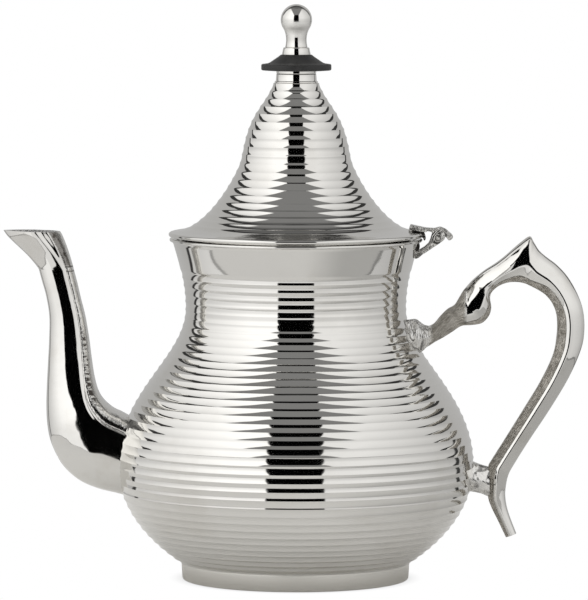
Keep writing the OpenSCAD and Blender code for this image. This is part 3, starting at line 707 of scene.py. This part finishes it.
def blended_keys(table, at):
    places = sorted(table)
    for a, b in zip(places, places[1:]):
        if a <= at <= b:
            t = (at - a) / (b - a)
            return [p + (q - p) * t for p, q in zip(table[a], table[b])]
    return table[places[-1]]


def eased(u, roundness):
    """0 to 1, partly along a quarter circle and partly straight."""
    return roundness * (1 - (1 - u) ** 2) ** 0.5 + (1 - roundness) * u


def bar_section(keys, inner):
    """The handle's section as (place, share of the half depth), rounded at its lines; inner is the share at
    the inner edge."""
    outer, outer_w, ridge, ridge_w, raw, raw_w = keys
    half = [(outer * u, outer_w * eased(u, 0.65))
            for u in (0.006, 0.03, 0.08, 0.16, 0.28, 0.42, 0.58, 0.74, 0.88)]
    half += [(outer, outer_w)]
    half += [(outer + (ridge - outer) * u, outer_w + (ridge_w - outer_w) * eased(u, 0.6))
             for u in (0.15, 0.3, 0.45, 0.6, 0.75, 0.9)]
    half += [(ridge - RIDGE_SOFT, ridge_w - 0.002), (ridge + RIDGE_SOFT, ridge_w - 0.004)]
    half += [(ridge + RIDGE_SOFT + (raw - ridge - RIDGE_SOFT) * u, ridge_w + (raw_w - ridge_w) * u)
             for u in (0.2, 0.5, 0.85)]
    half += [(raw, raw_w), (raw + 0.012, raw_w - 0.05), (raw + LEDGE, raw_w - LEDGE_DROP)]
    half += [(raw + LEDGE + (1 - raw - LEDGE) * u, raw_w - LEDGE_DROP + (inner - raw_w + LEDGE_DROP) * u)
             for u in (0.25, 0.5, 0.75, 0.93)]
    half += [(1.0, inner * 0.8), (1.0, inner * 0.4)]
    return half + [(k, -w) for k, w in half[::-1]]


def bar(name, rows, table, node, finish, seated=False, inner=0.5):
    """Lofts a cast bar through rows; its finish reads (place past the inner line, share of the half depth,
    length along)."""
    rings, places, along = [], [], 0.0
    for i, (outer_x, outer_z, inner_x, inner_z, deep) in enumerate(spline_rows(rows, BAR_STEPS)):
        a, b = Vector((outer_x, 0, outer_z)), Vector((inner_x, 0, inner_z))
        keys = blended_keys(table, i / BAR_STEPS)
        section = bar_section(keys, inner)
        ring = [(a + (b - a) * k + Vector((0, deep * w, 0))) * MM for k, w in section]
        if seated and i == 0:
            ring = [seat(p, Vector((-1, 0, 0))) for p in ring]
        if i:
            along += (ring[0] - rings[-1][0]).length
        rings.append(ring)
        places.append([(k - keys[4], w, along / MM) for k, w in section])
    bm = new_loft()
    for loop in loft(bm, rings, places):
        bmesh.ops.edgeloop_fill(bm, edges=loop)
    return finish_piece(name, bm, [finish], "pot", [node], sharp=50)


def make_handle():
    bar("upper_foot", UPPER_FOOT, FOOT_KEYS, "handle_upper_foot", upper_solder, seated=True)
    bar("scroll_grip", GRIP, GRIP_KEYS, "handle_grip", cast_grip)
    bar("lower_foot", LOWER_FOOT, FOOT_KEYS, "handle_lower_foot", lower_solder, seated=True, inner=0.3)


# ---------------------------------------------------------------- hinge

HINGE_HALF, CENTRE_HALF, LEAF_HALF, KNUCKLE_GAP = 6.2, 2.4, 4.6, 0.25
RELIEF, RELIEF_ROOT = 0.3, 0.5  # how far a raised line stands out of its casting, and reaches into it
WEB_INSET = 0.3
# Side outlines of the pot's half: arms with raised lines and a ring round the rivet, and the collar's leaf
ARM = [(50.1, 134.5), (52.8, 136.2), (60.8, 141.5), (61.9, 142.6), (62, 144), (61.3, 145.5), (59.9, 146.1),
       (58.2, 145.6), (56.9, 144.2), (56.2, 142.2), (55.4, 140.4), (53.8, 138.9), (51.6, 137.5), (50.4, 137)]
ARM_STRIPE = [(52.4, 136.2), (53.2, 136.4), (60.9, 141.6), (60.6, 142.1), (59.4, 141.7), (52.8, 137.2)]
ARM_EDGE = [(55.9, 140), (56, 141.6), (56.7, 144), (58.2, 145.7), (60.2, 146.7), (60.5, 146.2), (60.3, 145.7),
            (58.9, 145.1), (57.8, 143.9), (57.1, 141.9), (56.8, 139.9), (56.3, 139.5)]
RIVET_RING = arc((PIN_X, PIN_Z), 1.6, 1.6, range(0, 360, 20))
WEB = [(48.9, 136.9), (49.4, 137.7), (51.3, 137.7), (53.1, 137), (52.8, 136.2), (50.9, 134.6), (49.8, 134.2),
       (49, 134.6)]
COLLAR_LEAF = [(49.2, 137.4), (51.1, 137.4), (51.5, 139.4), (51.3, 140.9), (50, 141.2), (49.6, 141)]
# Side outlines of the lid's half: its leaf, the hook round the rim, and the bar with the thumb tail
LID_LEAF = [(47.8, 148.2), (50.4, 147.6), (53.2, 147), (54.5, 146.6), (54.5, 145.4), (52.9, 145.1),
            (48.5, 145.9), (48, 144.8), (47.1, 145.2), (47.2, 146.6)]
HOOK = [(48.2, 146.4), (52.9, 145.7), (53.7, 144.4), (54, 142.9), (53.8, 142), (53.2, 141.7), (52.8, 142.9),
        (51.5, 143.2), (48.2, 144.6)]
BAR = [(52.6, 145.6), (52.6, 147.1), (54.6, 146.9), (57.7, 146.7), (59.2, 147.1), (60.3, 147.3),
       (62.4, 146.4), (65.2, 144), (65.4, 143), (64.9, 142.2), (63.9, 141.6), (63.3, 141.9), (62.8, 142.7),
       (62, 143.3), (60.9, 143.6), (60.6, 142), (58.9, 141.1), (57.3, 142), (57.1, 143.2), (56.6, 145.1),
       (55.4, 145.5)]
TAIL_STRIPE = [(60.2, 146.5), (62, 146), (64.5, 143.8), (64.4, 143.1), (63.6, 143.3), (61.4, 145.1),
               (60.2, 145.4)]
# One head of the rivet as (radius, distance along Y): stepped and domed
RIVET_HEAD = [(0, 6.95), (0.45, 6.9), (0.75, 6.75), (0.8, 6.55), (1.05, 6.5), (1.35, 6.42), (1.4, 6.3),
              (1.4, 6.2), (PIN_R, 6.2)]


def plate(bm, outline, low, high, soften, slot=0):
    """A side outline made into a plate between two places along Y, with its edges eased."""
    before = set(bm.faces)
    face = bm.faces.new([bm.verts.new((x * MM, low * MM, z * MM)) for x, z in outline])
    grown = bmesh.ops.extrude_face_region(bm, geom=[face])["geom"]
    bmesh.ops.translate(bm, verts=[g for g in grown if isinstance(g, bmesh.types.BMVert)],
                        vec=(0, (high - low) * MM, 0))
    edges = dict.fromkeys(e for f in bm.faces if f not in before for e in f.edges)
    bmesh.ops.bevel(bm, geom=list(edges), offset=soften * MM, segments=3, profile=0.5, affect="EDGES",
                    material=-1)
    for f in bm.faces:
        if f not in before:
            f.material_index = slot


def make_bracket():
    bright, recess = 1, 2
    bm = bmesh.new()
    for side in (-1, 1):
        plate(bm, ARM, *sorted((side * HINGE_HALF, side * (CENTRE_HALF + KNUCKLE_GAP))), 0.4)
        low, high = sorted((side * (HINGE_HALF - RELIEF_ROOT), side * (HINGE_HALF + RELIEF)))
        plate(bm, ARM_STRIPE, low, high, 0.2)
        plate(bm, ARM_EDGE, low, high, 0.25, slot=bright)
        plate(bm, RIVET_RING, low, high, 0.2)
    plate(bm, WEB, -HINGE_HALF + WEB_INSET, HINGE_HALF - WEB_INSET, 0.2)
    # The collar's leaf takes the recess finish, which is painted shade
    plate(bm, COLLAR_LEAF, -HINGE_HALF, HINGE_HALF, 0.2, slot=recess)
    finish_piece("collar_bracket", bm, [cast_hinge, cast_bright, hinge_recess], "pot", ["hinge_bracket"],
                 sharp=40)


def make_strap():
    recess = 1
    bm = bmesh.new()
    plate(bm, BAR, -CENTRE_HALF, CENTRE_HALF, 0.4)
    plate(bm, TAIL_STRIPE, -CENTRE_HALF - RELIEF, CENTRE_HALF + RELIEF, 0.25)
    plate(bm, LID_LEAF, -LEAF_HALF, LEAF_HALF, 0.3)
    # The hook round the rim takes the recess finish, which is painted shade
    plate(bm, HOOK, -LEAF_HALF, LEAF_HALF, 0.2, slot=recess)
    finish_piece("lid_strap", bm, [cast_hinge, hinge_recess], "lid", ["hinge_strap"],
                 sharp=40)


def make_pin():
    """The rivet through the knuckles."""
    outline = RIVET_HEAD + [(r, -y) for r, y in RIVET_HEAD[::-1]]
    bm = bmesh.new()
    verts = [bm.verts.new(((PIN_X + r) * MM, y * MM, PIN_Z * MM)) for r, y in outline]
    edges = [bm.edges.new(pair) for pair in zip(verts, verts[1:])]
    bmesh.ops.spin(bm, geom=verts + edges, cent=(PIN_X * MM, 0, PIN_Z * MM), axis=(0, 1, 0), dvec=(0, 0, 0),
                   angle=2 * math.pi, steps=PIN_STEPS, use_merge=True)
    finish_piece("rivet", bm, [cast_hinge], "pot", ["hinge_pin"], sharp=40)


# ---------------------------------------------------------------- assembly

make_body()
make_lid()
make_foot()
make_ring()
make_collar()
make_knob()
make_spout()
make_handle()
make_bracket()
make_strap()
make_pin()

# Hidden pieces keep their own meshes and only take a finish
CARRIED_OVER = {"base_plate": unplated_brass, "strainer": inner_sheet, "lid_skirt": polished_sheet,
                "finial_stud": steel, "stud_washer": steel, "stud_nut": steel}
for node, finish in CARRIED_OVER.items():
    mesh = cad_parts[node].data
    mesh.materials.clear()
    mesh.materials.append(finish)


# ---------------------------------------------------------------- studio

# The room in degrees round from the viewer and up, with each edge as the pair that it fades between
GAP_EDGE, GAP_FOOT, GAP_TOP = (18.2, 19.4), (-15, -13), (38, 40)
CEILING_FROM, CEILING_SLOPE = (36, 38), (1.9, 2.15)  # the slope is height over distance to the side
# Edges behind the pot, as distance to the side and height over distance to the back
FRAME_SIDE, FRAME_TOP, FRAME_LEAN = (1.25, 1.35), (1.9, 2.2), 0.45
PAPER_SIDE, PAPER_TOP = (1.03, 1.1), (1.2, 1.26)
# How bright each part is where metal shows it, and what share of it a wall keeps at its foot and far end
LEFT_WALL, RIGHT_WALL, CEILING, BELOW_GAP, PAPER, FRAME, ABOVE_FRAME = 1.31, 0.97, 0.24, 0.85, 0.5, 0.04, 0.14
WALL_FOOT, WALL_FAR = 0.78, 0.66
WALL_FADE_FROM, WALL_FADE_TO = 50.0, 120.0
NEARLY_ZERO = 0.001


def make_studio():
    """A soft white room as polished metal shows it: bright sides, a grey ceiling, the dark gap of the viewer,
    and behind the pot a paper backdrop with a dark frame of unlit room round it."""
    world = bpy.data.worlds.new("studio")
    bpy.context.scene.world = world
    f = Finish(world)
    x, y, z = f.parts(f.add("ShaderNodeTexCoord", out="Generated"))
    azimuth = f.maths("ARCTAN2", abs(x), 0 - y) * math.degrees(1)
    height = f.maths("ARCSINE", z) * math.degrees(1)
    fade = f.add("ShaderNodeMapRange", None, {"Value": azimuth, "From Min": WALL_FADE_FROM,
                                              "From Max": WALL_FADE_TO, "To Min": 1.0, "To Max": WALL_FAR})
    wall = f.blend(f.step(x, -0.05, 0.05), LEFT_WALL, RIGHT_WALL)
    wall = wall * (WALL_FOOT + f.step(height, -8, 16) * (1 - WALL_FOOT)) * fade
    gap = f.step(height, *GAP_TOP) * CEILING + (1 - f.step(height, *GAP_FOOT)) * BELOW_GAP
    level = f.blend(f.step(azimuth, *GAP_EDGE), gap, wall)
    ceiling = f.step(height, *CEILING_FROM) * f.step(z / (abs(x) + NEARLY_ZERO), *CEILING_SLOPE)
    level = f.blend(ceiling, level, CEILING)
    behind = f.step(y, 0.02, 0.05)
    across, up = abs(x) / (y + NEARLY_ZERO), z / (y + NEARLY_ZERO)
    in_frame = behind * (1 - f.step(across - f.step(up, 0.2, 0.9) * FRAME_LEAN, *FRAME_SIDE))
    over_frame = f.step(up, *FRAME_TOP)
    on_paper = behind * (1 - f.step(across, *PAPER_SIDE)) * (1 - f.step(up, *PAPER_TOP))
    level = f.blend(in_frame * over_frame, level, ABOVE_FRAME)
    level = f.blend(in_frame * (1 - over_frame), level, FRAME)
    level = f.blend(on_paper, level, PAPER)
    seen = f.add("ShaderNodeLightPath", out="Is Camera Ray")
    mirrored = (f.add("ShaderNodeLightPath", out="Is Glossy Ray")
                + f.add("ShaderNodeLightPath", out="Is Transmission Ray"))
    strength = f.blend(seen, f.blend(mirrored, 1.0, level), 1.0)
    colour = f.tint(seen, (1.0, 0.995, 0.985), (1.0, 1.0, 1.0))
    light = f.add("ShaderNodeBackground", None, {"Color": colour, "Strength": strength})
    f.add("ShaderNodeOutputWorld", None, {"Surface": light})


TABLE_R, TABLE_EDGE = 0.315, (0.304, 0.307)
PAINT_NEAR, PAINT_FAR, PAINT_SHADED = (0.76, 0.755, 0.74), (0.68, 0.675, 0.665), (0.3, 0.3, 0.295)
# The painted shadow along the table's edge
EDGE_SHADOW = (0.1, 0.1, 0.1)
FADE_OUT, SHADE_RIGHT = (0.06, 0.3), (0.02, 0.2)
FOOT_SHADE = 6 * MM


def make_table():
    """The round pale table the pot stands on. The viewer sees it white, with a thin shade under the foot; the
    metal sees its paint, with painted shade on the right and a painted shadow along its edge."""
    bm = bmesh.new()
    bmesh.ops.create_circle(bm, cap_ends=True, segments=128, radius=TABLE_R)
    mesh = bpy.data.meshes.new("table")
    bm.to_mesh(mesh)
    bm.free()
    table = bpy.data.objects.new("table", mesh)
    bpy.context.scene.collection.objects.link(table)
    f = new_finish("table_paint")
    x, y, z = f.parts(f.place())
    reach = (x * x + y * y) ** 0.5
    paint = f.tint(f.step(reach, *FADE_OUT), PAINT_NEAR, PAINT_FAR)
    paint = f.tint(f.step(x, *SHADE_RIGHT) * 0.6, paint, PAINT_SHADED)
    # A painted shadow: a thin dark strip along the table's edge
    paint = f.tint(f.step(reach, *TABLE_EDGE) * 0.6, paint, EDGE_SHADOW)
    matt = f.add("ShaderNodeBsdfDiffuse", None, {"Color": paint})
    shade = f.add("ShaderNodeAmbientOcclusion", {"samples": 8}, {"Distance": FOOT_SHADE}, out="AO")
    bright = f.add("ShaderNodeEmission", None, {"Color": (1, 1, 1, 1), "Strength": shade ** 0.25})
    seen = f.add("ShaderNodeLightPath", out="Is Camera Ray")
    both = f.add("ShaderNodeMixShader", None, {0: seen, 1: matt, 2: bright})
    f.add("ShaderNodeOutputMaterial", None, {"Surface": both})
    mesh.materials.append(f.owner)


SENSOR, IMAGE_HEIGHT, FOCAL_PIXELS = 36, 600, 5327
VIEWER_PLACE, VIEWER_DIP, VIEWER_ROLL = (-0.00109, -2.215, 0.287), 4.40, -0.1


def make_camera():
    data = bpy.data.cameras.new("viewer")
    data.sensor_width = SENSOR
    data.lens = FOCAL_PIXELS / IMAGE_HEIGHT * SENSOR
    data.clip_start, data.clip_end = 0.1, 50
    camera = bpy.data.objects.new("viewer", data)
    camera.location = VIEWER_PLACE
    camera.rotation_euler = (math.radians(90 - VIEWER_DIP), math.radians(VIEWER_ROLL), 0)
    bpy.context.scene.collection.objects.link(camera)
    bpy.context.scene.camera = camera


make_studio()
make_table()
make_camera()
bpy.context.scene.view_settings.view_transform = "Standard"
